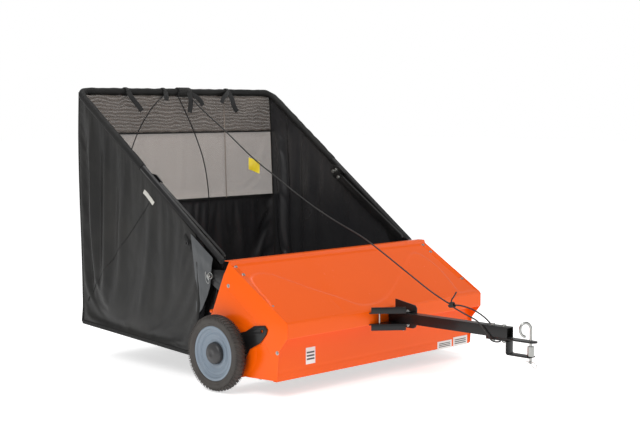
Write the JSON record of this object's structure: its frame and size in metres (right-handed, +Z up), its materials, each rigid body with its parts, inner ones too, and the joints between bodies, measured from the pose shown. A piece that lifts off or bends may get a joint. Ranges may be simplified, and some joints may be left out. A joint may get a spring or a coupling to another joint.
{
  "type": "lawn sweeper",
  "caption": "Tow-behind lawn sweeper: orange sheet-steel brush housing on two wheels, black tow bar with clevis hitch, and a tipping fabric hopper on a tube frame.",
  "frame": {"origin": "point on the ground below the middle of the machine's box, on the mirror plane between the wheels", "axes": "+Z up, -Y towards the tractor, X along the wheel axles"},
  "size_m": [1.243, 1.9061, 1.102],
  "materials": {
    "orange_paint": "gloss powder coat",
    "black_paint": "satin powder coat",
    "zinc_steel": "bright zinc plate",
    "tyre_rubber": "matt moulded rubber",
    "rim_plastic": "fine moulded grain",
    "cap_plastic": "fine moulded grain",
    "bristle": "extruded filament",
    "nylon": "moulded",
    "vinyl_fabric": "coated weave, slightly glossy",
    "mesh_fabric": "open knit mesh",
    "rope": "braided cord"
  },
  "bodies": {
    "housing": {"hood": "orange_paint", "side_plate_left": "orange_paint", "side_plate_right": "orange_paint", "bearing_left": "nylon", "bearing_right": "nylon", "pivot_bracket_left": "black_paint", "pivot_bracket_right": "black_paint", "pivot_pin_left": "zinc_steel", "pivot_pin_right": "zinc_steel", "tow_bar": "black_paint", "bracket_iron_upper": "black_paint", "bracket_iron_lower": "black_paint", "bracket_cheek": "black_paint", "bracket_bolt": "zinc_steel", "stay_bolt": "zinc_steel", "lock_pin": "zinc_steel", "lock_clip": "zinc_steel", "clevis_strap_upper": "black_paint", "clevis_strap_lower": "black_paint", "clevis_bolt_front": "zinc_steel", "clevis_bolt_rear": "zinc_steel", "hitch_spacer": "zinc_steel", "pull_rope": "rope"},
    "hopper": {"upper_frame": "black_paint", "lower_frame": "black_paint", "hopper_arm_left": "black_paint", "hopper_arm_right": "black_paint", "hopper_upright_left": "black_paint", "hopper_upright_right": "black_paint", "arm_bracket_left": "black_paint", "arm_bracket_right": "black_paint", "bag_side_left": "vinyl_fabric", "bag_side_right": "vinyl_fabric", "bag_back": "vinyl_fabric", "bag_window": "mesh_fabric", "bag_floor": "vinyl_fabric", "spring_rod_left": "black_paint", "spring_rod_right": "black_paint"},
    "brush": {"brush_shaft": "zinc_steel", "brush_core": "zinc_steel", "bristle_row_1": "bristle", "bristle_row_2": "bristle", "bristle_row_3": "bristle", "bristle_row_4": "bristle"},
    "carrier_left": {"wheel_bracket_left": "black_paint", "axle_left": "zinc_steel", "height_bolt_left": "zinc_steel"},
    "wheel_left": {"tyre_left": "tyre_rubber", "rim_left": "rim_plastic", "hub_cap_left": "cap_plastic"},
    "drive_pinion_left": {"pinion_left": "zinc_steel"},
    "carrier_right": {"wheel_bracket_right": "black_paint", "axle_right": "zinc_steel", "height_bolt_right": "zinc_steel"},
    "wheel_right": {"tyre_right": "tyre_rubber", "rim_right": "rim_plastic", "hub_cap_right": "cap_plastic"},
    "drive_pinion_right": {"pinion_right": "zinc_steel"},
    "hitch_pin": {"hitch_pin": "zinc_steel"},
    "hitch_clip": {"hitch_clip": "zinc_steel"}
  },
  "joints": [
    {"name": "hopper_dump", "type": "hinge", "parent": "housing", "child": "hopper", "pos_m": [0, 0.1155, 0.407], "axis": [1, 0, 0], "range_deg": [0, 50], "deforming": ["pull_rope"]},
    {"name": "brush_spin", "type": "hinge", "parent": "housing", "child": "brush", "pos_m": [0, -0.04135, 0.15209], "axis": [1, 0, 0], "continuous": true},
    {"name": "height_left", "type": "hinge", "parent": "housing", "child": "carrier_left", "pos_m": [0, -0.04135, 0.15209], "axis": [1, 0, 0], "range_deg": [-12, 12]},
    {"name": "wheel_left_spin", "type": "hinge", "parent": "carrier_left", "child": "wheel_left", "pos_m": [0, 0.0255, 0.1397], "axis": [1, 0, 0], "continuous": true},
    {"name": "pinion_left_spin", "type": "hinge", "parent": "carrier_left", "child": "drive_pinion_left", "pos_m": [0, -0.04135, 0.15209], "axis": [1, 0, 0], "continuous": true},
    {"name": "height_right", "type": "hinge", "parent": "housing", "child": "carrier_right", "pos_m": [0, -0.04135, 0.15209], "axis": [1, 0, 0], "range_deg": [-12, 12]},
    {"name": "wheel_right_spin", "type": "hinge", "parent": "carrier_right", "child": "wheel_right", "pos_m": [0, 0.0255, 0.1397], "axis": [1, 0, 0], "continuous": true},
    {"name": "pinion_right_spin", "type": "hinge", "parent": "carrier_right", "child": "drive_pinion_right", "pos_m": [0, -0.04135, 0.15209], "axis": [1, 0, 0], "continuous": true},
    {"name": "hitch_pin_turn", "type": "hinge", "parent": "housing", "child": "hitch_pin", "pos_m": [0, -0.9245, 0.2], "axis": [0, 0, 1], "continuous": true},
    {"name": "hitch_clip_pull", "type": "slide", "parent": "hitch_pin", "child": "hitch_clip", "axis": [0, -1, 0], "range_m": [0, 0.03]}
  ],
  "couplings": [
    {"joint": "brush_spin", "follows": "wheel_left_spin", "ratio": 5},
    {"joint": "pinion_left_spin", "follows": "wheel_left_spin", "ratio": 5},
    {"joint": "pinion_right_spin", "follows": "wheel_right_spin", "ratio": 5}
  ]
}
